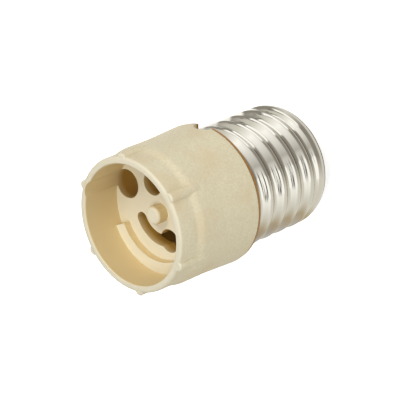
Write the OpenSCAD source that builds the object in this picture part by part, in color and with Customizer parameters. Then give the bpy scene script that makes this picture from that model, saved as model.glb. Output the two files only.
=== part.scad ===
// Lamp socket adapter: a ceramic twist-lock socket cup on a large Edison screw shell.
// It stands on its centre contact with the socket's mouth up. Z runs along the axis,
// and Z = 0 is the outer face of the centre contact. The pin holes lie along X.

/* [Cup] */
// Length of the cup from its rim to its rear edge
cup_len = 32.4; // [30:0.1:40]
// Thickness of the wall at the rim
rim_wall = 2.2; // [1.8:0.1:2.8]
// Length of the straight collar behind the rim
collar_len = 6.5; // [4:0.1:8]
// Length of the soft step from the collar to the waist
step_len = 3.5; // [2:0.1:5]
// Height of the step on the radius
step_rise = 0.75; // [0.4:0.05:1.2]
// Widening of the cup on the radius, from its waist to its rear edge
flare_rise = 0.65; // [0.3:0.05:1.5]
// Length of the flare from the waist to the rear edge
flare_len = 13.4; // [8:0.1:18]
// Rounding of the rim's outer edge
rim_round = 0.9; // [0.4:0.1:1.2]
// Rounding of the mouth's edge
mouth_round = 0.5; // [0.2:0.1:0.8]
// Rounding of the rear edge
rear_round = 0.5; // [0.2:0.1:1]

/* [Recess] */
// Diameter of the recess for the lamp base
recess_d = 37.6; // [36:0.1:38.4]
// Depth of the recess below the rim
recess_depth = 13.4; // [11:0.1:15]
// Thickness of the slotted floor
floor_t = 4.5; // [3:0.1:5.5]
// Diameter of the boss in the floor's middle
boss_d = 5.8; // [4:0.1:7]
// Diameter of the boss's flat tip
boss_tip_d = 3.9; // [2:0.1:3.9]
// Height of the boss
boss_h = 3.8; // [2:0.1:6]
// Radial width of the raised ledge along the wall
ledge_w = 3.7; // [2:0.1:4]
// Height of the ledge above the floor
ledge_h = 2.4; // [1:0.1:4]
// Angle at which the ledge starts
ledge_start = 94; // [85:1:110]
// Angle that the ledge covers
ledge_sweep = 150; // [60:1:170]

/* [Twist-lock slots] */
// Distance between the two lamp pins
pin_spacing = 18; // [17:0.1:19]
// Diameter of the round pin hole at the start of each slot
pin_hole_d = 7.4; // [6.6:0.1:7.8]
// Width of each curved slot
slot_w = 4; // [3:0.1:4.2]
// Angle from each pin hole to its slot's end
slot_sweep = 85; // [75:1:88]
// Diameter of the round key hole and its wall groove
key_d = 9.2; // [8:0.1:9.6]
// Depth of the groove that the key hole cuts in the recess wall
key_groove = 0.9; // [0.5:0.1:1.3]
// Angle of the key hole from the first pin hole
key_angle = 46.5; // [44:0.5:48]
// Depth of the key hole below the floor
key_depth = 9; // [5:0.1:9.5]

/* [Ribs and notch] */
// Number of ribs on the collar
rib_count = 6; // [2:2:12]
// Radius of each half-round rib
rib_round = 1.6; // [1:0.1:2]
// Height of the ribs above the collar
rib_proud = 1.1; // [0.5:0.1:1.3]
// Length of the ribs from the rim
rib_len = 13.4; // [8:0.1:16]
// Length of a rib's rounded foot
rib_foot = 3.2; // [1.6:0.1:5]
// Radius of the round notch in the rear edge
notch_round = 3.1; // [2:0.1:4]
// Angle of the notch
notch_angle = -22; // [-60:1:60]
// Radial depth of the notch from the rear edge
notch_depth = 2.4; // [1:0.1:3]

/* [Contact chambers] */
// Radius of the post between the two chambers
post_r = 4.9; // [4:0.1:5.5]
// Outer radius of the chambers
chamber_r = 14.2; // [13.9:0.1:14.5]
// Width of the ledge round the chambers that the rear cover seats on
cover_ledge = 0.4; // [0.2:0.1:0.6]
// Height of the chambers from the rear cover to the floor
chamber_h = 12.1; // [11.8:0.1:13]
// Angle that a chamber reaches past its pin hole
chamber_lead = 27; // [26.5:0.5:28]
// Angle that a chamber reaches past its slot's end
chamber_tail = 28; // [27.5:0.5:30]
// Thickness of the rear cover
cover_t = 3.5; // [2.5:0.1:5]

/* [Neck and basing cement] */
// Outer diameter of the neck inside the shell
neck_d = 34; // [33:0.1:34.4]
// Length of the neck behind the rear edge
neck_len = 8.6; // [7:0.1:12]
// Thickness of the brown cement ring
cement_t = 0.8; // [0.4:0.1:1.5]
// Width of the cement ring outside the shell's edge
cement_proud = 2.8; // [1:0.05:2.9]
// Depth that the cement reaches into the shell
cement_reach = 1.9; // [0.5:0.1:2.5]

/* [Screw shell] */
// Diameter over the thread's crests
crest_d = 39.5; // [39:0.1:40]
// Diameter over the thread's roots
root_d = 35.9; // [35.7:0.1:36.5]
// Distance between two turns of the thread
pitch = 6.35; // [6:0.05:7]
// Angle at which a crest meets the shell's upper edge
thread_start = -14; // [-180:1:180]
// Thickness of the shell's sheet
shell_t = 0.5; // [0.3:0.05:0.6]
// Length of the shell from its upper edge to its flat end
shell_len = 36.8; // [30:0.1:45]
// Diameter of the shell's upper edge
shell_edge_d = 38.8; // [38.6:0.1:39.4]
// Diameter of the shell where its end rounds off
shell_end_d = 39.2; // [38.5:0.1:39.6]
// Radius of the rounded shoulder at the shell's end
shoulder_round = 5.5; // [4:0.1:6.5]
// Diameter of the hole in the shell's end
shell_hole_d = 22; // [20:0.1:24]

/* [End contact] */
// Height of the centre contact
contact_h = 3.5; // [2.6:0.1:4]
// Diameter of the centre contact
contact_d = 16; // [15:0.1:18]
// Thickness of the centre contact's sheet
contact_t = 0.8; // [0.6:0.1:1]
// Rounding of the centre contact's edge
contact_round = 1.4; // [1.2:0.1:1.6]
// Diameter of the dimple in the centre contact
dimple_d = 7.2; // [6.8:0.1:7.6]
// Depth of the dimple
dimple_depth = 1; // [0.9:0.1:1.2]
// Height of the insulator outside the shell
insulator_out = 2.5; // [1:0.1:3]
// Thickness of the insulator's flange inside the shell
insulator_flange_t = 3.2; // [2:0.1:5]
// Gap between the insulator's flange and the shell's rounded shoulder
flange_gap = 0.6; // [0.3:0.1:2]
// Diameter of the centre eyelet's shank
eyelet_d = 4; // [3:0.1:4.4]
// Diameter of the centre eyelet's bore
eyelet_bore_d = 2.4; // [1.5:0.1:2.6]

/* [Contacts and fasteners] */
// Width of a contact strip
strip_w = 4.6; // [4:0.1:4.8]
// Thickness of a contact strip
strip_t = 0.6; // [0.4:0.05:0.8]
// Outer radius of a contact strip's bends
strip_round = 1.6; // [1.4:0.1:1.8]
// Reach of a strip's tongue behind the pin's locked place, up to its bend
strip_back = 1.5; // [1.3:0.1:1.6]
// Reach of a strip's tongue ahead of that place, up to its curled tip
strip_front = 3.4; // [2.5:0.1:3.6]
// Reach of a strip's base ahead of that place
strip_base = 7; // [6:0.1:7.1]
// Distance of the clip rivet ahead of that place
rivet_ahead = 2.9; // [2.5:0.1:3.3]
// Thickness of a back spring
spring_t = 0.4; // [0.2:0.05:0.5]
// Length by which a back spring's tongue is shorter than its strip's
spring_short = 1.5; // [1:0.1:2]
// Thickness of a lamp pin's head, which sets the strip's height
pin_head_t = 2.5; // [2:0.1:3]
// Diameter of a clip rivet's shank
rivet_d = 2.8; // [2.4:0.1:3]
// Diameter of a clip rivet's head
rivet_head_d = 4.4; // [4:0.1:4.6]
// Thickness of a clip rivet's head
rivet_head_t = 0.9; // [0.6:0.1:1.2]
// Diameter of a cover screw's shank
screw_d = 2.9; // [2.4:0.1:3]
// Length of a cover screw's shank
screw_len = 9; // [8.6:0.1:9.4]
// Diameter of a cover screw's head
screw_head_d = 5.5; // [5:0.1:5.8]
// Height of a cover screw's head
screw_head_h = 2; // [1.5:0.1:2.5]
// Thickness of a washer
washer_t = 0.8; // [0.4:0.1:1]
// Diameter of a washer
washer_d = 6.2; // [6:0.1:6.4]
// Width of a square nut
nut_w = 5.5; // [5:0.1:5.6]
// Thickness of a square nut
nut_t = 2.2; // [1.8:0.1:2.4]
// Height of the nuts above the rear cover
nut_lift = 1.6; // [1.2:0.1:1.8]
// Distance of the cover screws from the axis
screw_r = 10; // [9.8:0.1:10.1]

/* [Leads] */
// Diameter of a lead over its sleeve
lead_d = 3.2; // [2.4:0.1:3.4]
// Diameter of a lead's bare conductor
wire_d = 2.2; // [1.6:0.1:2.2]
// Thickness of a ring terminal's plate
terminal_t = 0.8; // [0.6:0.1:1]
// Diameter of a ring terminal's ring
terminal_d = 6; // [5.6:0.1:6.4]
// Length of a ring terminal's barrel
barrel_len = 6; // [4:0.1:6.2]
// Outer diameter of a ring terminal's barrel
barrel_d = 3.6; // [3.4:0.1:3.8]
// Height of the solder joint above the shell's flat end
solder_height = 14; // [10:0.1:18]
// Diameter of the solder joint
solder_d = 5.2; // [4.6:0.1:6]
// Height of the solder joint from the shell's wall
solder_h = 3.4; // [3.2:0.1:4]

/* [Hidden] */
$fn = 96;

// Clearance of a round piece in its hole, on the radius
fit = 0.1;
// Clearance of the cover in the neck and of the insulator in the shell, on the radius
seat_gap = 0.25;
// Reach of a cut past the face that it opens
past = 1;
// Steps in a rounded edge
arc_steps = 5;

// Radii of the cup, from the recess outward, and of the insulator's flange
recess_r = recess_d / 2;
collar_r = recess_r + rim_wall;
waist_r = collar_r + step_rise;
rear_r = waist_r + flare_rise;
key_r = recess_r + key_groove - key_d / 2;
insulator_flange_r = shell_end_d / 2 - shoulder_round - flange_gap;

// Heights along the axis, from the centre contact upward
shell_z = contact_h + insulator_out;
shell_top = shell_z + shell_len;
rear_z = shell_top + cement_t;
rim_z = rear_z + cup_len;
floor_z = rim_z - recess_depth;
under_floor_z = floor_z - floor_t;
cover_top = under_floor_z - chamber_h;
cover_z = cover_top - cover_t;
neck_bore_r = chamber_r + cover_ledge;
neck_z = rear_z - neck_len;
shoulder_z = shell_z + shoulder_round;
insulator_in_z = shell_z + shell_t;
insulator_top = insulator_in_z + insulator_flange_t;

// Places of the contacts: a pin's locked place at its slot's end, and the rivet beside it
pin_r = pin_spacing / 2;
lock_x = pin_r * cos(slot_sweep);
lock_y = -pin_r * sin(slot_sweep);
bend_x = lock_x - strip_back;
tip_x = lock_x + strip_front;
strip_end_x = lock_x + strip_base;
rivet_x = lock_x + rivet_ahead;
strip_h = chamber_h - pin_head_t;
rivet_r = norm([rivet_x, lock_y]);
rivet_angle = atan2(lock_y, rivet_x);
screw_angle = (chamber_lead + 180 - slot_sweep - chamber_tail) / 2;
nut_z = cover_top + nut_lift;

// Leads run down from a terminal's barrel, near the axis, to the lug or to the shell
terminal_reach = 5.2;
lead_top_r = rivet_r - terminal_reach;
lead_top_z = cover_z - terminal_t - barrel_len;
inner_root_r = root_d / 2 - shell_t;
shell_lead_r = inner_root_r - lead_d / 2 - 0.5;
solder_z = shell_z + solder_height;
lead_sides = 10;
lead_steps = 12;

// Points of an arc about a centre
function arc(centre, r, from, to, steps = arc_steps) =
    [for (i = [0:steps])
        let (angle = from + (to - from) * i / steps)
        centre + r * [cos(angle), sin(angle)]];

// Share of a soft step, from 0 at its start to 1 at its end
function ease(x) = let (t = max(0, min(1, x))) (1 - cos(180 * t)) / 2;

// Faces of a skin over rings of points, for a tube with flat ends or for a closed loop
function skin(rings, sides, closed = false) =
    let (last = closed ? rings - 1 : rings - 2)
    concat(
        [for (i = [0:last], k = [0:sides - 1], half = [0:1])
            let (
                here = i * sides,
                next = ((i + 1) % rings) * sides,
                turn = (k + 1) % sides
            )
            half == 0 ? [here + k, next + turn, here + turn] : [here + k, next + k, next + turn]],
        closed ? [] : [
            [for (k = [0:sides - 1]) k],
            [for (k = [sides - 1:-1:0]) (rings - 1) * sides + k]
        ]
    );

// A sector of a ring, cut from one angle to another
module sector(inner_r, outer_r, from, to, z, h) {
    rotate([0, 0, from]) rotate_extrude(angle = to - from)
        translate([inner_r, z]) square([outer_r - inner_r, h]);
}

// Puts a piece of the second contact half a turn from the first
module on_side(side) {
    rotate([0, 0, 180 * side]) children();
}

// Outline of the cup: neck, rear edge, flare, waist, soft step, collar and rounded rim
module cup_outline() {
    step_end = rim_z - collar_len - step_len;
    polygon(concat(
        [[0, neck_z], [neck_d / 2, neck_z], [neck_d / 2, rear_z]],
        arc([rear_r - rear_round, rear_z + rear_round], rear_round, -90, 0),
        [[waist_r, rear_z + flare_len]],
        [for (i = [0:6]) [collar_r + step_rise * ease(1 - i / 6), step_end + step_len * i / 6]],
        arc([collar_r - rim_round, rim_z - rim_round], rim_round, 0, 90),
        [[0, rim_z]]
    ));
}

// Outline of the recess, opening over the rounded mouth
module recess_outline() {
    mouth = [recess_r + mouth_round, rim_z - mouth_round];
    polygon(concat(
        [[0, floor_z], [recess_r, floor_z]],
        arc(mouth, mouth_round, 180, 90),
        [[mouth.x, rim_z + past], [0, rim_z + past]]
    ));
}

// One half-round rib with a long rounded foot, and a small chamfer just short of the rim
module rib() {
    chamfer = 0.4;
    front = rib_len - 0.1;
    foot = [for (p = arc([0, 1], 1, -90, 0)) [p.x * rib_round, p.y * rib_foot]];
    translate([collar_r + rib_proud - rib_round, 0, rim_z - rib_len]) rotate_extrude()
        polygon(concat(
            foot,
            [[rib_round, front - chamfer], [rib_round - chamfer, front], [0, front]]
        ));
}

// Keyhole slot through the floor: a round hole for the pin's head and a curved slot for its neck
module keyhole() {
    z = under_floor_z - past;
    h = floor_t + 2 * past;
    translate([pin_r, 0, z]) cylinder(d = pin_hole_d, h = h);
    sector(pin_r - slot_w / 2, pin_r + slot_w / 2, -slot_sweep, 0, z, h);
    translate([lock_x, lock_y, z]) cylinder(d = slot_w, h = h);
}

// Chamber behind a slot, open to the rear
module chamber() {
    sector(post_r, chamber_r, -slot_sweep - chamber_tail, chamber_lead, cover_top - past,
        chamber_h + past);
}

// Hole for a cover screw in the web between the chambers, and the nut's slot across the web
module screw_seat() {
    slot = nut_w + 4 * fit;
    slot_len = 10.2;
    rotate([0, 0, screw_angle]) translate([screw_r, 0, 0]) {
        translate([0, 0, cover_top - past])
            cylinder(d = screw_d + 4 * fit, h = screw_len - cover_t - washer_t + past + 0.5);
        translate([-slot / 2, -slot_len / 2, nut_z - fit])
            cube([slot, slot_len, nut_t + 2 * fit]);
    }
}

// Key hole below the floor and the groove that it cuts in the recess wall
module key_bore() {
    rotate([0, 0, key_angle]) translate([key_r, 0, floor_z - key_depth])
        cylinder(d = key_d, h = key_depth + recess_depth + past);
}

// Round notch through the rear edge
module edge_notch() {
    rotate([0, 0, notch_angle]) translate([rear_r - notch_depth, 0, rear_z])
        rotate([0, 90, 0]) cylinder(r = notch_round, h = notch_depth + past);
}

// Boss in the floor's middle, with a rounded tip
module boss() {
    tip_round = (boss_d - boss_tip_d) / 2;
    translate([0, 0, floor_z]) rotate_extrude() polygon(concat(
        [[0, 0], [boss_d / 2, 0]],
        arc([boss_tip_d / 2, boss_h - tip_round], tip_round, 0, 90),
        [[0, boss_h]]
    ));
}

module socket_body() {
    color("#d6ccae") {
        difference() {
            union() {
                rotate_extrude() cup_outline();
                for (i = [0:rib_count - 1]) rotate([0, 0, key_angle + i * 360 / rib_count]) rib();
            }
            rotate_extrude() recess_outline();
            translate([0, 0, neck_z - past])
                cylinder(r = neck_bore_r, h = cover_top - neck_z + past);
            for (side = [0, 1]) on_side(side) {
                keyhole();
                chamber();
                screw_seat();
            }
            key_bore();
            edge_notch();
        }
        boss();
        sector(recess_r - ledge_w, recess_r + fit, ledge_start,
            ledge_start + ledge_sweep, floor_z, ledge_h);
    }
}

// Ceramic disc behind the chambers, held by two screws and carrying the contacts
module rear_cover() {
    chamfer = 0.6;
    r = neck_bore_r - seat_gap;
    color("#cfc4a4") difference() {
        translate([0, 0, cover_z]) rotate_extrude() polygon([
            [0, 0], [r - chamfer, 0], [r, chamfer], [r, cover_t], [0, cover_t]
        ]);
        for (side = [0, 1]) on_side(side) translate([0, 0, cover_z - past]) {
            translate([rivet_x, lock_y, 0]) cylinder(d = rivet_d + 2 * fit, h = cover_t + 2 * past);
            rotate([0, 0, screw_angle]) translate([screw_r, 0, 0])
                cylinder(d = screw_d + 4 * fit, h = cover_t + 2 * past);
        }
    }
}

// Brown basing cement: a flat ring under the cup, and a short sleeve down inside the shell
module cement_ring() {
    inner_r = neck_d / 2 + fit;
    sleeve_r = shell_edge_d / 2 - shell_t - 2 * fit;
    outer_r = shell_edge_d / 2 + cement_proud;
    color("#8a5a24") difference() {
        rotate_extrude() polygon([
            [inner_r, shell_top - cement_reach], [sleeve_r - 0.8, shell_top - cement_reach],
            [sleeve_r, shell_top - 0.6], [sleeve_r, shell_top], [outer_r, shell_top],
            [outer_r, rear_z], [inner_r, rear_z]
        ]);
        edge_notch();
    }
}

// Radius of the threaded wall: a round knuckle thread that runs out into plain ends
function wall_r(z, angle) =
    let (
        edge_r = shell_edge_d / 2,
        end_r = shell_end_d / 2,
        turns = (z - shell_top) / pitch - (angle - thread_start) / 360,
        knuckle = (root_d + (crest_d - root_d) * (1 + cos(360 * turns)) / 2) / 2,
        from_edge = ease((shell_top - z - 0.6) / 2.6),
        from_end = ease((z - shoulder_z) / 3)
    )
    from_edge < 1 ? edge_r + (knuckle - edge_r) * from_edge
                  : end_r + (knuckle - end_r) * from_end;

// Rings of the shell's wall, from its upper edge to its hole, at a depth below the outer skin
function shell_rings(depth, sides) =
    let (
        per_turn = 7,
        steps = floor((shell_top - shoulder_z) * per_turn / pitch),
        shoulder_steps = 5,
        arc_r = shoulder_round - depth,
        centre = shell_end_d / 2 - shoulder_round
    )
    concat(
        [for (i = [0:steps])
            let (z = shell_top - (shell_top - shoulder_z) * i / steps)
            [for (k = [0:sides - 1])
                let (angle = 360 * k / sides, r = wall_r(z, angle) - depth)
                [r * cos(angle), r * sin(angle), z]]],
        [for (i = [1:shoulder_steps])
            let (fall = 90 * i / shoulder_steps, r = centre + arc_r * cos(fall))
            [for (k = [0:sides - 1])
                let (angle = 360 * k / sides)
                [r * cos(angle), r * sin(angle), shoulder_z - arc_r * sin(fall)]]],
        [[for (k = [0:sides - 1])
            let (angle = 360 * k / sides, r = shell_hole_d / 2)
            [r * cos(angle), r * sin(angle), shell_z + depth]]]
    );

// Rolled shell: the same wall inside and out, closed at its upper edge and at its hole
module screw_shell() {
    sides = 48;
    outer = shell_rings(0, sides);
    inner = shell_rings(shell_t, sides);
    last = len(inner) - 1;
    rings = concat(outer, [for (i = [last:-1:0]) inner[i]]);
    color("#c9c5ba") polyhedron(
        points = [for (ring = rings) each ring],
        faces = skin(len(rings), sides, true)
    );
}

// Insulator: a flange inside the shell, a plug through its hole and a boss in the contact
module end_insulator() {
    boss_r = dimple_d / 2 - contact_t;
    boss_z = dimple_depth + contact_t;
    plug_r = shell_hole_d / 2 - seat_gap;
    chamfer = 0.5;
    color("#e4e0d4") difference() {
        rotate_extrude() polygon([
            [0, boss_z], [boss_r, boss_z], [boss_r, contact_h], [plug_r - chamfer, contact_h],
            [plug_r, contact_h + chamfer], [plug_r, insulator_in_z],
            [insulator_flange_r, insulator_in_z], [insulator_flange_r, insulator_top - chamfer],
            [insulator_flange_r - chamfer, insulator_top], [0, insulator_top]
        ]);
        translate([0, 0, boss_z - past])
            cylinder(d = eyelet_d + 2 * fit, h = insulator_top - boss_z + 2 * past);
    }
}

// Pressed contact button with a rounded edge and a dimple for the eyelet's head
module centre_contact() {
    outer_r = contact_d / 2;
    edge = [outer_r - contact_round, contact_round];
    foot_r = dimple_d / 2;
    slope = 0.6;
    hole_r = eyelet_d / 2 + fit;
    color("#c9c5ba") rotate_extrude() polygon(concat(
        [[hole_r, dimple_depth], [foot_r - slope, dimple_depth], [foot_r, 0]],
        arc(edge, contact_round, -90, 0),
        [[outer_r, contact_h], [outer_r - contact_t, contact_h]],
        arc(edge, contact_round - contact_t, 0, -90),
        [[foot_r + 0.4, contact_t], [foot_r - slope + 0.4, dimple_depth + contact_t],
            [hole_r, dimple_depth + contact_t]]
    ));
}

// Hollow rivet through button, insulator and lug
module centre_eyelet() {
    head_r = dimple_d / 2 - 0.8;
    head_z = 0.25;
    clinch_z = insulator_top + terminal_t;
    clinch_t = 0.8;
    shank_r = eyelet_d / 2;
    color("#b9a16a") rotate_extrude() polygon([
        [eyelet_bore_d / 2, head_z], [head_r - 0.3, head_z], [head_r, head_z + 0.3],
        [head_r, dimple_depth], [shank_r, dimple_depth], [shank_r, clinch_z],
        [shank_r + 1, clinch_z], [shank_r + 1, clinch_z + clinch_t / 2],
        [shank_r + 0.6, clinch_z + clinch_t], [eyelet_bore_d / 2, clinch_z + clinch_t]
    ]);
}

// Ring terminal: a ring on its mating face at Z = 0, a tongue, and an upright barrel
module ring_terminal(hole_d) {
    difference() {
        union() {
            cylinder(d = terminal_d, h = terminal_t);
            translate([0, -barrel_d / 2, 0]) cube([terminal_reach, barrel_d, terminal_t]);
            translate([terminal_reach, 0, 0]) cylinder(d = barrel_d, h = terminal_t + barrel_len);
        }
        translate([0, 0, -past]) cylinder(d = hole_d, h = terminal_t + 2 * past);
        translate([terminal_reach, 0, terminal_t])
            cylinder(d = wire_d + 2 * fit, h = barrel_len + past);
    }
}

// Lug under the centre eyelet's clinch, with its barrel up towards its lead
module centre_lug() {
    color("#b9a16a") translate([0, 0, insulator_top])
        on_side(1) rotate([0, 0, rivet_angle]) ring_terminal(eyelet_d + 2 * fit);
}

// Terminal under a clip rivet, behind the cover, with its barrel down towards the axis
module lead_terminal(side) {
    color("#b9a16a") on_side(side) translate([rivet_x, lock_y, cover_z]) mirror([0, 0, 1])
        rotate([0, 0, rivet_angle + 180]) ring_terminal(rivet_d + 2 * fit);
}

// Outline of a folded leaf: base, upright, tongue and a tip curled down
function leaf(base_end, tip, z, h, r, t) = concat(
    [[base_end, z]],
    arc([bend_x, z + r], r, 270, 180),
    arc([bend_x, z + h - r], r, 180, 90),
    arc([tip, z + h - r], r, 90, 0),
    arc([tip, z + h - r], r - t, 0, 90),
    arc([bend_x, z + h - r], r - t, 90, 180),
    arc([bend_x, z + r], r - t, 180, 270),
    [[base_end, z + t]]
);

// Folded strip of a given outline, with a hole in its base for the rivet
module folded_leaf(outline, width) {
    difference() {
        translate([0, lock_y, cover_top]) rotate([90, 0, 0])
            linear_extrude(height = width, center = true) polygon(outline);
        translate([rivet_x, lock_y, cover_top - past])
            cylinder(d = rivet_d + 2 * fit, h = strip_t + spring_t + 2 * past);
    }
}

module contact_clip(side) {
    color("#d0c9b4") on_side(side)
        folded_leaf(leaf(strip_end_x, tip_x, 0, strip_h, strip_round, strip_t), strip_w);
}

// Steel leaf nested in the contact strip, on its base and under its tongue
module back_spring(side) {
    r = strip_round - strip_t - fit;
    h = strip_h - 2 * strip_t;
    color("#9aa0a6") on_side(side)
        folded_leaf(leaf(strip_end_x - spring_short, tip_x - spring_short, strip_t, h, r, spring_t),
            strip_w - 4 * fit);
}

// Hollow rivet from the spring's base to the terminal behind the cover
module clip_rivet(side) {
    head_z = cover_top + strip_t + spring_t;
    tail_z = cover_z - terminal_t;
    shank_r = rivet_d / 2;
    bore_r = shank_r - 0.6;
    head_r = rivet_head_d / 2;
    color("#b9a16a") on_side(side) translate([rivet_x, lock_y, 0]) rotate_extrude() polygon([
        [bore_r, tail_z - rivet_head_t], [head_r - 0.4, tail_z - rivet_head_t],
        [head_r, tail_z - rivet_head_t / 2], [head_r, tail_z], [shank_r, tail_z],
        [shank_r, head_z], [head_r, head_z], [head_r, head_z + rivet_head_t / 2],
        [head_r - 0.4, head_z + rivet_head_t], [bore_r, head_z + rivet_head_t]
    ]);
}

// Slotted pan-head screw from behind the cover
module cover_screw(side) {
    head_top = cover_z - washer_t;
    tip = 0.5;
    slot_w_screw = 0.8;
    color("#b8bcc0") on_side(side) rotate([0, 0, screw_angle]) translate([screw_r, 0, head_top])
        difference() {
            rotate_extrude() polygon([
                [0, -screw_head_h], [screw_head_d / 2 - 0.8, -screw_head_h],
                [screw_head_d / 2, 0.8 - screw_head_h], [screw_head_d / 2, 0], [screw_d / 2, 0],
                [screw_d / 2, screw_len - tip], [screw_d / 2 - tip, screw_len], [0, screw_len]
            ]);
            translate([-screw_head_d, -slot_w_screw / 2, -screw_head_h - past])
                cube([2 * screw_head_d, slot_w_screw, past + 1]);
        }
}

module cover_washer(side) {
    color("#b8bcc0") on_side(side) rotate([0, 0, screw_angle])
        translate([screw_r, 0, cover_z - washer_t]) difference() {
            cylinder(d = washer_d, h = washer_t);
            translate([0, 0, -past]) cylinder(d = screw_d + 2 * fit, h = washer_t + 2 * past);
        }
}

module cover_nut(side) {
    color("#b8bcc0") on_side(side) rotate([0, 0, screw_angle])
        translate([screw_r, 0, nut_z]) difference() {
            translate([-nut_w / 2, -nut_w / 2, 0]) cube([nut_w, nut_w, nut_t]);
            translate([0, 0, -past]) cylinder(d = screw_d + 2 * fit, h = nut_t + 2 * past);
        }
}

// Point of a cubic curve in the plane of a radius and the axis
function curve(p, t) = pow(1 - t, 3) * p[0] + 3 * pow(1 - t, 2) * t * p[1]
    + 3 * (1 - t) * t * t * p[2] + t * t * t * p[3];

// Ring of a lead, square to its run at a point of that plane
function lead_ring(at, along, r) =
    let (dir = along / norm(along))
    [for (k = [0:lead_sides - 1])
        let (angle = 360 * k / lead_sides, side = r * cos(angle))
        [at.x - side * dir.y, r * sin(angle), at.y + side * dir.x]];

// Lead with bare ends: straight down out of one end, along a curve, and straight into the other
module lead(top, bottom, bare_top, bare_bottom, bow) {
    down = [0, -1];
    drop = (top.y - bottom.y) * 0.4;
    course = [top, top + [bow, -drop], bottom + [bow, drop], bottom];
    wire = wire_d / 2;
    sleeve = lead_d / 2;
    step = 1 / lead_steps;
    sleeved = [for (i = [0:lead_steps])
        let (t = i * step, near = 0.01)
        lead_ring(curve(course, t),
            i == 0 || i == lead_steps ? down : curve(course, t + near) - curve(course, t - near),
            sleeve)];
    rings = concat(
        [lead_ring(top - down * bare_top, down, wire), lead_ring(top, down, wire)],
        sleeved,
        [lead_ring(bottom, down, wire), lead_ring(bottom + down * bare_bottom, down, wire)]
    );
    polyhedron(points = [for (ring = rings) each ring], faces = skin(len(rings), lead_sides));
}

// Sleeved lead from terminal b down to the centre lug
module centre_lead() {
    end_z = insulator_top + terminal_t + barrel_len;
    gap = 0.3;
    color("#e9e4d6") on_side(1) rotate([0, 0, rivet_angle])
        lead([lead_top_r, lead_top_z - gap], [terminal_reach, end_z + gap],
            barrel_len + gap - fit, barrel_len + gap - fit, 3);
}

// Sleeved lead from terminal a down to its solder joint on the shell
module shell_lead() {
    gap = 0.3;
    color("#e9e4d6") rotate([0, 0, rivet_angle])
        lead([lead_top_r, lead_top_z - gap], [shell_lead_r, solder_z + solder_d / 2 + gap],
            barrel_len + gap - fit, solder_d / 2 + gap + 1.4, 0);
}

// Domed solder joint on the shell's inner wall, round the lead's bare end
module shell_solder() {
    base = 0.8;
    r = solder_d / 2;
    dome = [for (angle = [0:15:90]) [r * cos(angle), base + (solder_h - base) * sin(angle)]];
    color("#a9adb2") rotate([0, 0, rivet_angle]) difference() {
        translate([inner_root_r - fit, 0, solder_z]) rotate([0, -90, 0])
            rotate_extrude() polygon(concat([[0, 0], [r, 0]], dome));
        translate([shell_lead_r, 0, solder_z - 1.5]) cylinder(d = wire_d + 2 * fit, h = r + 1.5 + past);
    }
}

socket_body();
rear_cover();
cement_ring();
screw_shell();
end_insulator();
centre_contact();
centre_eyelet();
centre_lug();
contact_clip(0);  // contact_clip_a
contact_clip(1);  // contact_clip_b
back_spring(0);  // back_spring_a
back_spring(1);  // back_spring_b
clip_rivet(0);  // clip_rivet_a
clip_rivet(1);  // clip_rivet_b
lead_terminal(0);  // lead_terminal_a
lead_terminal(1);  // lead_terminal_b
centre_lead();
shell_lead();
shell_solder();
cover_screw(0);  // cover_screw_a
cover_screw(1);  // cover_screw_b
cover_washer(0);  // cover_washer_a
cover_washer(1);  // cover_washer_b
cover_nut(0);  // cover_nut_a
cover_nut(1);  // cover_nut_b
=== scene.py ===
"""Looks of a ceramic lamp socket adapter: a twist-lock cup on a nickel-plated E40 screw shell."""

import math

import bpy
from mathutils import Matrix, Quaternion, Vector


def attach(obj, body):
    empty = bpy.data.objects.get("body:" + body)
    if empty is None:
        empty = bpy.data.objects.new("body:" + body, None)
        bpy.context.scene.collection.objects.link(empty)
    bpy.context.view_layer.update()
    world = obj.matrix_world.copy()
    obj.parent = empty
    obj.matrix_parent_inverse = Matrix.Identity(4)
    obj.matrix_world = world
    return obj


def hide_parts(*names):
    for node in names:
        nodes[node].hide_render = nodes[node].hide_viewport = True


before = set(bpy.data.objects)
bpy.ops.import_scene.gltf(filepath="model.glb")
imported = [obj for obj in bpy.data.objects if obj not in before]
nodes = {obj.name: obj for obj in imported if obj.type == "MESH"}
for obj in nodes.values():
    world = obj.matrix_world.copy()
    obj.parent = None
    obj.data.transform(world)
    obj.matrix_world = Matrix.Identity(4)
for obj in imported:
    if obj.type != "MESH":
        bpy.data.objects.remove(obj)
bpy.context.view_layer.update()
bpy.ops.object.select_all(action="DESELECT")

# Socket cup. The real one is dry-pressed steatite, fired without a glaze: a cream ceramic with a
# waxy, finely grained skin and soft edges. It carries the twist-lock slots for the lamp. The
# deeper golden tan that light bouncing about in its recess gives the walls is painted shade.
mm = 0.001


def to_linear(hex_colour):
    """A colour written as sRGB hex, as Blender's linear RGBA."""
    parts = [int(hex_colour[i:i + 2], 16) / 255 for i in (1, 3, 5)]
    return [p / 12.92 if p <= 0.04045 else ((p + 0.055) / 1.055) ** 2.4 for p in parts] + [1.0]


def add_node(material, kind, settings=None, **inputs):
    """Adds a shader node. Its inputs are named, or numbered as _6 is, and each is given a value, a
    node for its first output, or a (node, output) pair."""
    node = material.node_tree.nodes.new(kind)
    for name, value in (settings or {}).items():
        setattr(node, name, value)
    for name, value in inputs.items():
        socket = node.inputs[int(name[1:]) if name[1:].isdigit() else name.replace("_", " ")]
        if isinstance(value, bpy.types.Node):
            value = (value, 0)
        if isinstance(value, tuple) and isinstance(value[0], bpy.types.Node):
            material.node_tree.links.new(value[0].outputs[value[1]], socket)
        else:
            socket.default_value = value
    return node


def new_material(name):
    """A node material with no nodes in it yet."""
    material = bpy.data.materials.new(name)
    material.use_nodes = True
    material.node_tree.nodes.clear()
    return material


def finish_piece(piece, material):
    """Gives a piece its one material."""
    piece.data.materials.clear()
    piece.data.materials.append(material)


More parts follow.
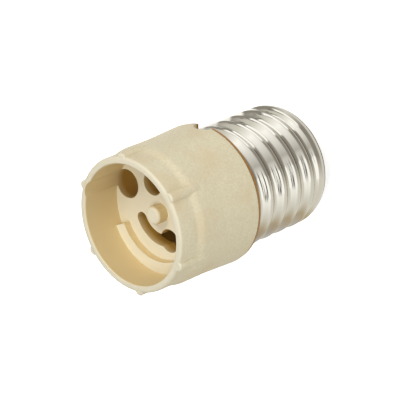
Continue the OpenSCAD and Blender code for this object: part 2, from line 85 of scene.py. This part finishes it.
# pressed steatite: cream all over, with a fine darker grain and faint warm blushes
cream = "#e0d6b7"
cream_speck = "#d4c8a4"
cream_blush = "#d6c49c"
grain_size = 0.7 * mm                # drawn coarser than the real grain, so that it shows
blush_size = 11 * mm

steatite = new_material("pressed_steatite")
place = add_node(steatite, "ShaderNodeTexCoord")
object_place = (place, "Object")
grain = add_node(steatite, "ShaderNodeTexNoise", Vector=object_place,
                 Scale=1 / grain_size, Detail=4.0, Roughness=0.6)
blotch = add_node(steatite, "ShaderNodeTexNoise", Vector=object_place,
                  Scale=1 / blush_size, Detail=2.0, Roughness=0.5)
grain_share = add_node(steatite, "ShaderNodeMapRange", Value=grain, From_Min=0.33, From_Max=0.67)
speckled = add_node(steatite, "ShaderNodeMix", {"data_type": "RGBA"}, Factor=grain_share,
                    _6=to_linear(cream), _7=to_linear(cream_speck))
blush = add_node(steatite, "ShaderNodeMapRange", Value=blotch, From_Min=0.5, From_Max=0.8)
skin = add_node(steatite, "ShaderNodeMix", {"data_type": "RGBA"}, Factor=blush,
                _6=(speckled, 2), _7=to_linear(cream_blush))

# painted light and shade in the recess: the floor is painted paler, and the walls a shaded tan,
# deeper down in the slots
lit_floor_cream = "#e1d8bd"
lit_rim_cream = "#dcd3b9"
recess_shade_tan = "#dcc591"
deep_shade_tan = "#b3882f"
recess_reach = 20.2 * mm             # the recess and its slots lie within this radius
recess_fade = 0.3 * mm
cup_levels = (40 * mm, 44 * mm)      # from the neck to the cup
slot_levels = (62.6 * mm, 60 * mm)   # from the floor down into the slots
pale_levels = (72 * mm, 68 * mm)     # from the mouth down to the pale floor
rim_levels = (75.2 * mm, 75.7 * mm)  # up to the rim's flat face

height = add_node(steatite, "ShaderNodeSeparateXYZ", Vector=object_place)
facing = add_node(steatite, "ShaderNodeNewGeometry")
facing_parts = add_node(steatite, "ShaderNodeSeparateXYZ", Vector=(facing, "Normal"))
level = add_node(steatite, "ShaderNodeMath", {"operation": "ABSOLUTE"}, _0=(facing_parts, "Z"))
upright = add_node(steatite, "ShaderNodeMapRange", Value=level, From_Min=0.85, From_Max=0.3)
flat_place = add_node(steatite, "ShaderNodeVectorMath", {"operation": "MULTIPLY"},
                      _0=object_place, _1=(1.0, 1.0, 0.0))
radius = add_node(steatite, "ShaderNodeVectorMath", {"operation": "LENGTH"}, _0=flat_place)
inside = add_node(steatite, "ShaderNodeMapRange", Value=(radius, "Value"),
                  From_Min=recess_reach, From_Max=recess_reach - recess_fade)
in_cup = add_node(steatite, "ShaderNodeMapRange", Value=(height, "Z"),
                  From_Min=cup_levels[0], From_Max=cup_levels[1])
inner_face = add_node(steatite, "ShaderNodeMath", {"operation": "MULTIPLY"}, _0=inside, _1=in_cup)
wall = add_node(steatite, "ShaderNodeMath", {"operation": "MULTIPLY"}, _0=inner_face, _1=upright)
depth = add_node(steatite, "ShaderNodeMapRange", Value=(height, "Z"),
                 From_Min=slot_levels[0], From_Max=slot_levels[1])
# painted shade: the upright walls of the recess are tan, darker deeper down in the slots
wall_shade_tan = add_node(steatite, "ShaderNodeMix", {"data_type": "RGBA"}, Factor=depth,
                    _6=to_linear(recess_shade_tan), _7=to_linear(deep_shade_tan))
below_rim = add_node(steatite, "ShaderNodeMapRange", Value=(height, "Z"),
                     From_Min=pale_levels[0], From_Max=pale_levels[1])
# painted light: the recess floor is made paler than the walls around it
pale_share = add_node(steatite, "ShaderNodeMath", {"operation": "MULTIPLY"}, _0=inner_face,
                      _1=below_rim)
paler = add_node(steatite, "ShaderNodeMix", {"data_type": "RGBA"}, Factor=pale_share,
                 _6=(skin, 2), _7=to_linear(lit_floor_cream))
# painted light: the rim's flat face, which faces the lamps, is made paler and less yellow
rim_face = add_node(steatite, "ShaderNodeMapRange", Value=(height, "Z"),
                    From_Min=rim_levels[0], From_Max=rim_levels[1])
rimmed = add_node(steatite, "ShaderNodeMix", {"data_type": "RGBA"}, Factor=rim_face,
                  _6=(paler, 2), _7=to_linear(lit_rim_cream))
cup_colour = add_node(steatite, "ShaderNodeMix", {"data_type": "RGBA"}, Factor=wall,
                      _6=(rimmed, 2), _7=(wall_shade_tan, 2))

# the die leaves soft edges, and the grain stands up a little
edge_softness = 0.16 * mm
grain_height = 0.02 * mm

soft_edge = add_node(steatite, "ShaderNodeBevel", {"samples": 8}, Radius=edge_softness)
grain_bump = add_node(steatite, "ShaderNodeBump", Strength=0.25, Distance=grain_height,
                      Height=grain, Normal=soft_edge)
steatite_skin = add_node(steatite, "ShaderNodeBsdfPrincipled", Base_Color=(cup_colour, 2),
                         Roughness=0.55, IOR=1.56, Normal=grain_bump)
add_node(steatite, "ShaderNodeOutputMaterial", Surface=steatite_skin)
finish_piece(nodes["socket_body"], steatite)

# Rear cover. A disc that closes the contact chambers from behind, held by two screws. It is
# pressed and fired from the same steatite as the cup, so it has the same grain and cream skin.
finish_piece(nodes["rear_cover"], steatite)

# Contact strips. Two strips of copper-nickel, rolled, stamped and folded to a spring, that a lamp's
# pins slide on. Each is clinched on the rear cover with a brass rivet, over a ring terminal.

# rolled copper-nickel: a warm silver with a soft, slightly uneven sheen from the rolls
copper_nickel = "#cfc8b4"
sheen_size = 0.5 * mm

contact_alloy = new_material("rolled_copper_nickel")
contact_place = add_node(contact_alloy, "ShaderNodeTexCoord")
contact_lines = add_node(contact_alloy, "ShaderNodeTexNoise", Vector=(contact_place, "Object"),
                         Scale=1 / sheen_size, Detail=2.0)
contact_haze = add_node(contact_alloy, "ShaderNodeMapRange", Value=contact_lines,
                        To_Min=0.22, To_Max=0.36)
contact_skin = add_node(contact_alloy, "ShaderNodeBsdfPrincipled",
                        Base_Color=to_linear(copper_nickel), Metallic=1.0,
                        Roughness=contact_haze)
add_node(contact_alloy, "ShaderNodeOutputMaterial", Surface=contact_skin)

# stamped brass: a warm yellow metal with a satin sheen, a little browner where it has tarnished
brass_yellow = "#c9a95c"
brass_brown = "#b08d46"
tarnish_size = 2 * mm

brass = new_material("stamped_brass")
brass_place = add_node(brass, "ShaderNodeTexCoord")
brass_tarnish = add_node(brass, "ShaderNodeTexNoise", Vector=(brass_place, "Object"),
                         Scale=1 / tarnish_size, Detail=3.0)
brass_colour = add_node(brass, "ShaderNodeMix", {"data_type": "RGBA"}, Factor=brass_tarnish,
                        _6=to_linear(brass_yellow), _7=to_linear(brass_brown))
brass_skin = add_node(brass, "ShaderNodeBsdfPrincipled", Base_Color=(brass_colour, 2),
                      Metallic=1.0, Roughness=0.28)
add_node(brass, "ShaderNodeOutputMaterial", Surface=brass_skin)
for side in ("a", "b"):
    finish_piece(nodes[f"contact_clip_{side}"], contact_alloy)
    finish_piece(nodes[f"clip_rivet_{side}"], brass)
    finish_piece(nodes[f"lead_terminal_{side}"], brass)

# Springs and cover fixings. A stamped leaf of spring steel backs each strip, and two machine
# screws with washers and square nuts hold the cover in the cup. All of them are zinc plated.

# zinc-plated steel: a cool grey metal with a faintly cloudy sheen
zinc_grey = "#b9bcc0"
cloud_size = 1.2 * mm

steel = new_material("zinc_plated_steel")
steel_place = add_node(steel, "ShaderNodeTexCoord")
steel_spangle = add_node(steel, "ShaderNodeTexNoise", Vector=(steel_place, "Object"),
                         Scale=1 / cloud_size, Detail=3.0)
steel_haze = add_node(steel, "ShaderNodeMapRange", Value=steel_spangle, To_Min=0.25, To_Max=0.4)
steel_skin = add_node(steel, "ShaderNodeBsdfPrincipled", Base_Color=to_linear(zinc_grey),
                      Metallic=1.0, Roughness=steel_haze)
add_node(steel, "ShaderNodeOutputMaterial", Surface=steel_skin)
for side in ("a", "b"):
    for name in ("back_spring", "cover_screw", "cover_washer", "cover_nut"):
        finish_piece(nodes[f"{name}_{side}"], steel)

# Leads. Two stranded wires in woven glass sleeves run from the ring terminals to the centre
# contact and to the shell, where a joint of solder holds the wire on the inner wall.

# woven glass sleeve: matt off-white, with the ribs of the braid
glass_white = "#e9e4d6"
braid_step = 1.0 * mm
braid_height = 0.1 * mm

sleeve = new_material("woven_glass_sleeve")
sleeve_place = add_node(sleeve, "ShaderNodeTexCoord")
sleeve_weave = add_node(sleeve, "ShaderNodeTexWave", Vector=(sleeve_place, "Object"),
                        Scale=1 / braid_step)
sleeve_bump = add_node(sleeve, "ShaderNodeBump", Strength=0.4, Distance=braid_height,
                       Height=sleeve_weave)
sleeve_skin = add_node(sleeve, "ShaderNodeBsdfPrincipled", Base_Color=to_linear(glass_white),
                       Roughness=0.8, Normal=sleeve_bump)
add_node(sleeve, "ShaderNodeOutputMaterial", Surface=sleeve_skin)
for name in ("centre_lead", "shell_lead"):
    finish_piece(nodes[name], sleeve)
finish_piece(nodes["shell_solder"], steel)    # solder is the same cool, faintly cloudy grey

# Basing cement. A brown phenolic cement that fixes the shell on the neck and is cured in place,
# so its edge shows as a thin, slightly uneven brown line under the cup. That brown line is also
# painted shade, standing in for the shade along the cup's rear edge.

# cured cement: brown, with golden grit and small pits
# partly painted shade: the cement's brown also stands in for shade at the cup's rear edge
cement_and_shade_brown = "#85560f"
cement_gold = "#b07f2c"
cement_grit = 0.8 * mm           # drawn coarser than the real grit, so that it shows
cement_pits = 0.05 * mm

cement = new_material("cured_basing_cement")
cement_place = add_node(cement, "ShaderNodeTexCoord")
cement_grain = add_node(cement, "ShaderNodeTexNoise", Vector=(cement_place, "Object"),
                        Scale=1 / cement_grit, Detail=3.0)
cement_colour = add_node(cement, "ShaderNodeMix", {"data_type": "RGBA"}, Factor=cement_grain,
                         _6=to_linear(cement_and_shade_brown), _7=to_linear(cement_gold))
cement_bump = add_node(cement, "ShaderNodeBump", Strength=0.5, Distance=cement_pits,
                       Height=cement_grain)
cement_skin = add_node(cement, "ShaderNodeBsdfPrincipled", Base_Color=(cement_colour, 2),
                       Roughness=0.5, IOR=1.6, Normal=cement_bump)
add_node(cement, "ShaderNodeOutputMaterial", Surface=cement_skin)
finish_piece(nodes["cement_ring"], cement)

# Screw shell. Brass sheet 0.5 mm thick, drawn to a cup, rolled with the round E40 thread and
# bright nickel plated, so it mirrors what is round it in long streaks along the thread.
shell_top = 42.8 * mm
shell_end = 6.0 * mm
shell_sheet = 0.5 * mm
shell_hole_r = 11 * mm
crest_r = 19.75 * mm
root_r = 17.95 * mm
pitch = 6.35 * mm                # four turns to the inch
thread_start = -14               # azimuth in degrees where a crest would meet the upper edge
edge_r = 19.4 * mm               # plain upper edge, and the thread's run-out below it
edge_gap = 0.6 * mm
edge_run = 2.6 * mm
end_r = 19.6 * mm                # wall at the shoulder, and the thread's run-out above it
end_run = 3 * mm
shoulder_round = 5.5 * mm
shoulder_top = shell_end + shoulder_round
shell_sides = 192
rings_per_turn = 14
shoulder_steps = 10
crease_angle = math.radians(50)


def soft_step(x):
    """0 below 0, 1 above 1, and a cosine between."""
    return (1 - math.cos(math.pi * min(max(x, 0), 1))) / 2


def thread_radius(z, angle):
    """Radius of the rolled wall: a round knuckle thread that runs out into plain ends."""
    turns = (z - shell_top) / pitch - (angle - thread_start) / 360
    knuckle = root_r + (crest_r - root_r) * (1 + math.cos(2 * math.pi * turns)) / 2
    from_edge = soft_step((shell_top - z - edge_gap) / edge_run)
    from_end = soft_step((z - shoulder_top) / end_run)
    if from_edge < 1:
        return edge_r + (knuckle - edge_r) * from_edge
    return end_r + (knuckle - end_r) * from_end


# a tube of rings, whose points are then moved in or out to the thread
bpy.ops.mesh.primitive_circle_add(vertices=shell_sides, radius=crest_r, location=(0, 0, shell_top))
shell = bpy.context.object
shell.name = "rolled_shell"
bpy.ops.object.transform_apply(location=True)
bpy.ops.object.mode_set(mode="EDIT")
ring_count = round((shell_top - shoulder_top) / pitch * rings_per_turn)
for ring in range(ring_count):
    bpy.ops.mesh.extrude_region_move(
        TRANSFORM_OT_translate={"value": (0, 0, (shoulder_top - shell_top) / ring_count)})
bpy.ops.object.mode_set(mode="OBJECT")
for vertex in shell.data.vertices:
    angle = math.degrees(math.atan2(vertex.co.y, vertex.co.x))
    radius_here = thread_radius(vertex.co.z, angle)
    vertex.co.x, vertex.co.y = (radius_here * math.cos(math.radians(angle)),
                                radius_here * math.sin(math.radians(angle)))

# the rounded shoulder, and the flat end with its hole for the insulator
bpy.ops.object.mode_set(mode="EDIT")
fall, reach = 0, end_r
for step in range(1, shoulder_steps + 1):
    bend = math.pi / 2 * step / shoulder_steps
    next_fall = shoulder_round * math.sin(bend)
    next_reach = end_r - shoulder_round * (1 - math.cos(bend))
    bpy.ops.mesh.extrude_region_move(TRANSFORM_OT_translate={"value": (0, 0, fall - next_fall)})
    scale = next_reach / reach
    bpy.ops.transform.resize(value=(scale, scale, 1), center_override=(0, 0, 0))
    fall, reach = next_fall, next_reach
bpy.ops.mesh.extrude_region_move()
scale = shell_hole_r / reach
bpy.ops.transform.resize(value=(scale, scale, 1), center_override=(0, 0, 0))

# the sheet's thickness lies inwards of these faces
bpy.ops.mesh.select_all(action="SELECT")
bpy.ops.mesh.normals_make_consistent(inside=False)
bpy.ops.object.mode_set(mode="OBJECT")
sheet = shell.modifiers.new("sheet", "SOLIDIFY")
sheet.thickness = shell_sheet
sheet.offset = -1
bpy.ops.object.modifier_apply(modifier="sheet")
bpy.ops.object.shade_smooth_by_angle(angle=crease_angle)

# bright nickel plate: clear reflections, a faint haze, and the fine lines that the rollers leave
nickel_tone = "#d4d1c8"
haze_size = 5 * mm
roll_line = 0.45 * mm            # drawn coarser than the real lines, so that they show
roll_line_height = 0.04 * mm

nickel = new_material("bright_nickel_plate")
nickel_place = add_node(nickel, "ShaderNodeTexCoord")
nickel_wave = add_node(nickel, "ShaderNodeTexNoise", Vector=(nickel_place, "Object"),
                       Scale=1 / haze_size, Detail=2.0)
nickel_haze = add_node(nickel, "ShaderNodeMapRange", Value=nickel_wave, From_Min=0.3,
                       From_Max=0.7, To_Min=0.03, To_Max=0.06)

# the rolled lines follow the thread: their pattern changes across it and repeats at each turn
rolled_parts = add_node(nickel, "ShaderNodeSeparateXYZ", Vector=(nickel_place, "Object"))
rolled_turn = add_node(nickel, "ShaderNodeMath", {"operation": "ARCTAN2"},
                       _0=(rolled_parts, "Y"), _1=(rolled_parts, "X"))
rolled_rise = add_node(nickel, "ShaderNodeMath", {"operation": "MULTIPLY"},
                       _0=(rolled_parts, "Z"), _1=2 * math.pi / pitch)
rolled_phase = add_node(nickel, "ShaderNodeMath", {"operation": "SUBTRACT"}, _0=rolled_rise,
                        _1=rolled_turn)
rolled_cosine = add_node(nickel, "ShaderNodeMath", {"operation": "COSINE"}, _0=rolled_phase)
rolled_sine = add_node(nickel, "ShaderNodeMath", {"operation": "SINE"}, _0=rolled_phase)
rolled_place = add_node(nickel, "ShaderNodeCombineXYZ", X=rolled_cosine, Y=rolled_sine)
rolled_lines = add_node(nickel, "ShaderNodeTexNoise", Vector=rolled_place,
                        Scale=pitch / roll_line / (2 * math.pi), Detail=2.0)
rolled_bump = add_node(nickel, "ShaderNodeBump", Strength=1.0, Distance=roll_line_height,
                       Height=rolled_lines)
nickel_skin = add_node(nickel, "ShaderNodeBsdfPrincipled", Base_Color=to_linear(nickel_tone),
                       Metallic=1.0, Roughness=nickel_haze, Normal=rolled_bump)
add_node(nickel, "ShaderNodeOutputMaterial", Surface=nickel_skin)
finish_piece(shell, nickel)
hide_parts("screw_shell")
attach(shell, "root")

# End of the shell. A pressed ceramic insulator closes it, and a stamped contact button, nickel
# plated as the shell is, is clinched on it with a hollow brass rivet that also holds a lug.
finish_piece(nodes["end_insulator"], steatite)
finish_piece(nodes["centre_contact"], nickel)
finish_piece(nodes["centre_eyelet"], brass)
finish_piece(nodes["centre_lug"], brass)

# Camera. It looks into the mouth from the front, rolled so that the adapter lies on its side in
# the picture as it does in the photograph.
camera_azimuth = -81.06
camera_rise = 42.217
camera_distance = 566.1 * mm
camera_roll = -112.57
camera_aim = Vector((-1.02, -0.16, 46.2)) * mm
camera_film, camera_lens = 36, 167.4    # in mm

azimuth, rise = math.radians(camera_azimuth), math.radians(camera_rise)
toward_camera = Vector((math.cos(rise) * math.cos(azimuth), math.cos(rise) * math.sin(azimuth),
                        math.sin(rise)))
level_turn = (-toward_camera).to_track_quat("-Z", "Y")
camera_turn = level_turn @ Quaternion((0, 0, 1), math.radians(camera_roll))
bpy.ops.object.camera_add(location=camera_aim + toward_camera * camera_distance,
                          rotation=camera_turn.to_euler())
camera = bpy.context.object
camera.data.sensor_width = camera_film
camera.data.lens = camera_lens
bpy.context.scene.camera = camera

# Studio. A white paper floor just under the contact button, three soft lamps and a dim pale room.
# Only the camera and mirrored rays see the paper glow, so it is white and keeps a soft shadow.
floor_size = 6000 * mm
floor_drop = 0.02 * mm
paper_white = "#f2f2f2"
lit_white = "#ffffff"
paper_glow = 0.7
room_light = 0.27

bpy.ops.mesh.primitive_plane_add(size=floor_size, location=(0, 0, -floor_drop))
floor = bpy.context.object
floor.name = "studio_floor"
paper = new_material("white_backdrop_paper")
rays = add_node(paper, "ShaderNodeLightPath")
seen = add_node(paper, "ShaderNodeMath", {"operation": "MAXIMUM"}, _0=(rays, "Is Camera Ray"),
                _1=(rays, "Is Glossy Ray"))
seen_or_through = add_node(paper, "ShaderNodeMath", {"operation": "MAXIMUM"}, _0=seen,
                           _1=(rays, "Is Transmission Ray"))
matte = add_node(paper, "ShaderNodeBsdfDiffuse", Color=to_linear(paper_white))
glow = add_node(paper, "ShaderNodeEmission", Color=to_linear(lit_white), Strength=paper_glow)
no_glow = add_node(paper, "ShaderNodeEmission", Strength=0.0)
shown_glow = add_node(paper, "ShaderNodeMixShader", Fac=seen_or_through, _1=no_glow, _2=glow)
lit_paper = add_node(paper, "ShaderNodeAddShader", _0=matte, _1=shown_glow)
add_node(paper, "ShaderNodeOutputMaterial", Surface=lit_paper)
finish_piece(floor, paper)

world = bpy.data.worlds.new("pale_room")
world.use_nodes = True
world.node_tree.nodes["Background"].inputs["Color"].default_value = to_linear(lit_white)
world.node_tree.nodes["Background"].inputs["Strength"].default_value = room_light
bpy.context.scene.world = world

# each lamp has its place in mm and its power in watts
lamp_size = 300 * mm
lamp_aim = Vector((0, 0, 46)) * mm


def add_soft_lamp(name, place_mm, power):
    """A square area lamp that faces the middle of the adapter."""
    at = Vector(place_mm) * mm
    bpy.ops.object.light_add(type="AREA", location=at,
                             rotation=(lamp_aim - at).to_track_quat("-Z", "Y").to_euler())
    lamp = bpy.context.object
    lamp.name = name
    lamp.data.size = lamp_size
    lamp.data.energy = power


add_soft_lamp("key_lamp", (430, -220, 480), 2.0)
add_soft_lamp("mouth_lamp", (-100, -250, 700), 2.0)
add_soft_lamp("fill_lamp", (-450, -400, 150), 0.5)

# Light tent. A bowl of cloth round the adapter, as photographers put round bright metal, so that
# the shell mirrors soft bands of cloth, wall and table. Only mirrored rays see it.
tent_sides = 96
tent_start = (9, 0.05)           # radius and height in mm, as at each point of the profile
tent_profile = ((23, 0.15), (30, 1), (45, 5), (70, 14), (100, 30), (140, 58), (180, 95),
                (220, 145), (250, 200), (270, 260), (280, 330), (270, 400), (240, 460))
bpy.ops.mesh.primitive_circle_add(vertices=tent_sides, radius=tent_start[0] * mm,
                                  location=(0, 0, tent_start[1] * mm))
tent = bpy.context.object
tent.name = "light_tent"
bpy.ops.object.transform_apply(location=True)
bpy.ops.object.mode_set(mode="EDIT")
last_r, last_z = tent_start
for tent_r, tent_z in tent_profile:
    bpy.ops.mesh.extrude_region_move(
        TRANSFORM_OT_translate={"value": (0, 0, (tent_z - last_z) * mm)})
    scale = tent_r / last_r
    bpy.ops.transform.resize(value=(scale, scale, 1), center_override=(0, 0, 0))
    last_r, last_z = tent_r, tent_z
bpy.ops.object.mode_set(mode="OBJECT")
bpy.ops.object.shade_smooth()

# the tones of cloth, wall and table, and the bands that they make round the tent, low down and
# higher up: each band is an azimuth in degrees and a tone, with a soft change to the next
soft_white = "#fbfbfa"
cloth = "#cccac2"
wall_grey = "#b0ada8"
gap_grey = "#86827b"
edge_grey = "#55524e"
gap_dark = "#2c2c2c"
table_tan = "#aa9d85"
low_bands = ((-180, table_tan), (-162, cloth), (-120, cloth), (-90, gap_grey), (-50, gap_grey),
             (-20, cloth), (0, gap_grey), (28, gap_grey), (32, lit_white), (50, lit_white),
             (60, wall_grey), (100, wall_grey), (120, cloth), (160, wall_grey))
high_bands = ((-180, table_tan), (-162, cloth), (-125, soft_white), (-100, soft_white),
              (-75, wall_grey), (-25, soft_white), (0, cloth), (35, wall_grey), (60, cloth),
              (135, cloth), (160, gap_grey))

cloth_glow = new_material("tent_cloth")
tent_place = add_node(cloth_glow, "ShaderNodeTexCoord")
tent_parts = add_node(cloth_glow, "ShaderNodeSeparateXYZ", Vector=(tent_place, "Object"))
tent_turn = add_node(cloth_glow, "ShaderNodeMath", {"operation": "ARCTAN2"},
                     _0=(tent_parts, "Y"), _1=(tent_parts, "X"))
turn_share = add_node(cloth_glow, "ShaderNodeMapRange", Value=tent_turn,
                      From_Min=-math.pi, From_Max=math.pi)
ramps = []
for bands in (low_bands, high_bands):
    ramp = add_node(cloth_glow, "ShaderNodeValToRGB", Fac=turn_share)
    stops = ramp.color_ramp.elements
    stops.remove(stops[1])
    stops[0].position, stops[0].color = 0, to_linear(bands[0][1])
    for band_angle, band_colour in bands[1:]:
        stops.new((band_angle + 180) / 360).color = to_linear(band_colour)
    stops.new(1).color = to_linear(bands[0][1])
    ramps.append(ramp)

# the low bands give way to the high ones over these heights
bands_from, bands_to = 10 * mm, 56 * mm

rise_share = add_node(cloth_glow, "ShaderNodeMapRange", {"interpolation_type": "SMOOTHSTEP"},
                      Value=(tent_parts, "Z"), From_Min=bands_from, From_Max=bands_to)
tent_colour = add_node(cloth_glow, "ShaderNodeMix", {"data_type": "RGBA"}, Factor=rise_share,
                       _6=ramps[0], _7=ramps[1])

# panels and gaps on the cloth, each with its middle azimuth, half width and soft edge in degrees,
# its lowest and highest place and their soft edge in mm, and its tone
tent_patches = ((-109, 17, 4, 22, 106, 8, soft_white), (-110, 24, 10, 118, 158, 16, edge_grey),
                (-21, 22, 4, 4, 26, 3, lit_white), (2, 14, 6, 31, 36, 3, gap_dark))
for middle, half, turn_edge, low, high, rise_edge, patch_colour in tent_patches:
    from_middle = add_node(cloth_glow, "ShaderNodeMath", {"operation": "SUBTRACT"}, _0=tent_turn,
                           _1=math.radians(middle))
    aside = add_node(cloth_glow, "ShaderNodeMath", {"operation": "ABSOLUTE"}, _0=from_middle)
    across = add_node(cloth_glow, "ShaderNodeMapRange", Value=aside,
                      From_Min=math.radians(half + turn_edge / 2),
                      From_Max=math.radians(half - turn_edge / 2))
    above_low = add_node(cloth_glow, "ShaderNodeMapRange", Value=(tent_parts, "Z"),
                         From_Min=(low - rise_edge / 2) * mm, From_Max=(low + rise_edge / 2) * mm)
    below_high = add_node(cloth_glow, "ShaderNodeMapRange", Value=(tent_parts, "Z"),
                          From_Min=(high + rise_edge / 2) * mm,
                          From_Max=(high - rise_edge / 2) * mm)
    upright_span = add_node(cloth_glow, "ShaderNodeMath", {"operation": "MULTIPLY"},
                            _0=above_low, _1=below_high)
    patch = add_node(cloth_glow, "ShaderNodeMath", {"operation": "MULTIPLY"}, _0=across,
                     _1=upright_span)
    tent_colour = add_node(cloth_glow, "ShaderNodeMix", {"data_type": "RGBA"}, Factor=patch,
                           _6=(tent_colour, 2), _7=to_linear(patch_colour))

# the cloth close round the shell, and the shadow under it and on a strip behind it
tent_flat = add_node(cloth_glow, "ShaderNodeVectorMath", {"operation": "MULTIPLY"},
                     _0=(tent_place, "Object"), _1=(1.0, 1.0, 0.0))
tent_reach = add_node(cloth_glow, "ShaderNodeVectorMath", {"operation": "LENGTH"}, _0=tent_flat)
near_shell = add_node(cloth_glow, "ShaderNodeMapRange", Value=(tent_reach, "Value"),
                      From_Min=25 * mm, From_Max=23 * mm)
tent_colour = add_node(cloth_glow, "ShaderNodeMix", {"data_type": "RGBA"}, Factor=near_shell,
                       _6=(tent_colour, 2), _7=to_linear(cloth))
under_shell = add_node(cloth_glow, "ShaderNodeMapRange", Value=(tent_reach, "Value"),
                       From_Min=19 * mm, From_Max=16 * mm)
behind_side = add_node(cloth_glow, "ShaderNodeVectorMath", {"operation": "DOT_PRODUCT"},
                       _0=(tent_place, "Object"), _1=(1.0, 0.05, 0.0))
behind_right = add_node(cloth_glow, "ShaderNodeMapRange", Value=(behind_side, "Value"),
                        From_Min=19 * mm, From_Max=18 * mm)
behind_start = add_node(cloth_glow, "ShaderNodeMapRange", Value=tent_turn,
                        From_Min=math.radians(15), From_Max=math.radians(22))
behind_far = add_node(cloth_glow, "ShaderNodeMapRange", Value=(tent_reach, "Value"),
                      From_Min=60 * mm, From_Max=48 * mm)
behind_left = add_node(cloth_glow, "ShaderNodeMapRange", Value=(tent_parts, "X"),
                       From_Min=3 * mm, From_Max=6 * mm)
behind = behind_right
for limit in (behind_far, behind_left, behind_start):
    behind = add_node(cloth_glow, "ShaderNodeMath", {"operation": "MULTIPLY"}, _0=behind,
                      _1=limit)
shadow = add_node(cloth_glow, "ShaderNodeMath", {"operation": "MAXIMUM"}, _0=under_shell,
                  _1=behind)
tent_colour = add_node(cloth_glow, "ShaderNodeMix", {"data_type": "RGBA"}, Factor=shadow,
                       _6=(tent_colour, 2), _7=to_linear(edge_grey))

# a lit panel high up on the key lamp's side, beyond a slanting edge
panel_slant = (-0.443, 0.375, 0.815)

panel_side = add_node(cloth_glow, "ShaderNodeVectorMath", {"operation": "DOT_PRODUCT"},
                      _0=(tent_place, "Object"), _1=panel_slant)
panel_edge = add_node(cloth_glow, "ShaderNodeMapRange", Value=(panel_side, "Value"),
                      From_Min=12 * mm, From_Max=20 * mm)
panel_start = add_node(cloth_glow, "ShaderNodeMapRange", Value=tent_turn,
                       From_Min=math.radians(-45), From_Max=math.radians(-35))
panel_end = add_node(cloth_glow, "ShaderNodeMapRange", Value=tent_turn,
                     From_Min=math.radians(35), From_Max=math.radians(20))
panel_span = add_node(cloth_glow, "ShaderNodeMath", {"operation": "MULTIPLY"}, _0=panel_start,
                      _1=panel_end)
panel = add_node(cloth_glow, "ShaderNodeMath", {"operation": "MULTIPLY"}, _0=panel_edge,
                 _1=panel_span)
tent_colour = add_node(cloth_glow, "ShaderNodeMix", {"data_type": "RGBA"}, Factor=panel,
                       _6=(tent_colour, 2), _7=to_linear(lit_white))

cloth_light = 1.5
tent_light = add_node(cloth_glow, "ShaderNodeEmission", Color=(tent_colour, 2),
                      Strength=cloth_light)
add_node(cloth_glow, "ShaderNodeOutputMaterial", Surface=tent_light)
finish_piece(tent, cloth_glow)
tent.visible_camera = False
tent.visible_diffuse = False
tent.visible_shadow = False

bpy.context.scene.view_settings.view_transform = "Standard"
